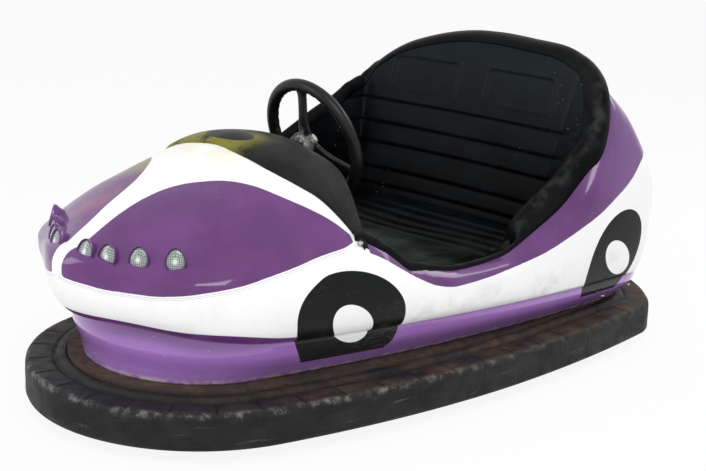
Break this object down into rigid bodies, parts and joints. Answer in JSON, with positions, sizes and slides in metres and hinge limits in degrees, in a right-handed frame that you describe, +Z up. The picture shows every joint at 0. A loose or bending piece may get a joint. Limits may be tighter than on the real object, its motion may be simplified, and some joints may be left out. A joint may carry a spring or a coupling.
{
  "type": "bumper car",
  "caption": "Fairground bumper car with a rubber bumper all round, a rounded hood, an open seat tub, a steering wheel and a driven front wheel that swivels.",
  "frame": {"origin": "on the floor, under the middle of the rubber bumper", "axes": "+Z up, nose towards -Y, the car's left side towards +X"},
  "size_m": [1.036, 1.8998, 0.8664],
  "materials": {
    "bumper_rubber": "worn, dusty",
    "chassis_steel": "satin",
    "skirt_gelcoat": "gloss gel-coat, scuffed",
    "ledge_paint": "satin, worn",
    "shell_gelcoat": "gloss gel-coat, white and purple",
    "rim_plastic": "satin",
    "cowl_plastic": "matt",
    "tub_plastic": "gloss",
    "seat_plastic": "gloss",
    "battery_case": "matt",
    "mat_rubber": "ribbed",
    "pedal_alloy": "brushed",
    "lamp_lens": "clear over grey-green",
    "steering_plastic": "satin, worn at the hub",
    "bright_steel": "bright",
    "column_paint": "satin",
    "wheel_iron": "cast",
    "wheel_tyre": "solid rubber"
  },
  "bodies": {
    "car": {"bumper_ring": "bumper_rubber", "bumper_band": "chassis_steel", "skirt_ledge": "ledge_paint", "deck": "chassis_steel", "deck_rails": "chassis_steel", "skirt": "skirt_gelcoat", "upper_shell": "shell_gelcoat", "rim_band": "rim_plastic", "cowl": "cowl_plastic", "tub_liner": "tub_plastic", "seat_back": "seat_plastic", "seat_cushion": "seat_plastic", "seat_riser": "tub_plastic", "toe_board": "chassis_steel", "battery_block": "battery_case", "floor_mat": "mat_rubber", "pedal_bracket": "pedal_alloy", "pedal": "pedal_alloy", "lamp_pods_left": "shell_gelcoat", "lamp_pods_right": "shell_gelcoat", "lamp_lenses_left": "lamp_lens", "lamp_lenses_right": "lamp_lens", "column_tube": "column_paint", "gearbox": "column_paint", "gearbox_stand": "chassis_steel", "housing": "chassis_steel", "rear_bracket_left": "chassis_steel", "rear_bracket_right": "chassis_steel", "rear_axle_left": "bright_steel", "rear_axle_right": "bright_steel"},
    "drive_unit": {"turntable": "column_paint", "drive_motor": "column_paint", "kingpin": "bright_steel", "drive_fork": "column_paint", "drive_axle": "bright_steel"},
    "drive_wheel": {"drive_hub": "wheel_iron", "drive_tyre": "wheel_tyre"},
    "steering": {"steering_wheel": "steering_plastic", "steering_nut": "bright_steel", "steering_shaft": "bright_steel"},
    "rear_wheel_left": {"rear_hub_left": "wheel_iron", "rear_tyre_left": "wheel_tyre"},
    "rear_wheel_right": {"rear_hub_right": "wheel_iron", "rear_tyre_right": "wheel_tyre"}
  },
  "joints": [
    {"name": "drive_swivel", "type": "hinge", "parent": "car", "child": "drive_unit", "pos_m": [0, -0.525, 0.1], "axis": [0, 0, 1], "continuous": true},
    {"name": "steering_turn", "type": "hinge", "parent": "car", "child": "steering", "pos_m": [0, -0.174, 0.603], "axis": [0, 0.9455, 0.3256], "continuous": true},
    {"name": "drive_wheel_spin", "type": "hinge", "parent": "drive_unit", "child": "drive_wheel", "pos_m": [0, -0.525, 0.09], "axis": [1, 0, 0], "continuous": true},
    {"name": "rear_left_spin", "type": "hinge", "parent": "car", "child": "rear_wheel_left", "pos_m": [0.32, 0.43, 0.07], "axis": [1, 0, 0], "continuous": true},
    {"name": "rear_right_spin", "type": "hinge", "parent": "car", "child": "rear_wheel_right", "pos_m": [-0.32, 0.43, 0.07], "axis": [1, 0, 0], "continuous": true}
  ],
  "couplings": [
    {"joint": "steering_turn", "follows": "drive_swivel", "ratio": 1}
  ]
}
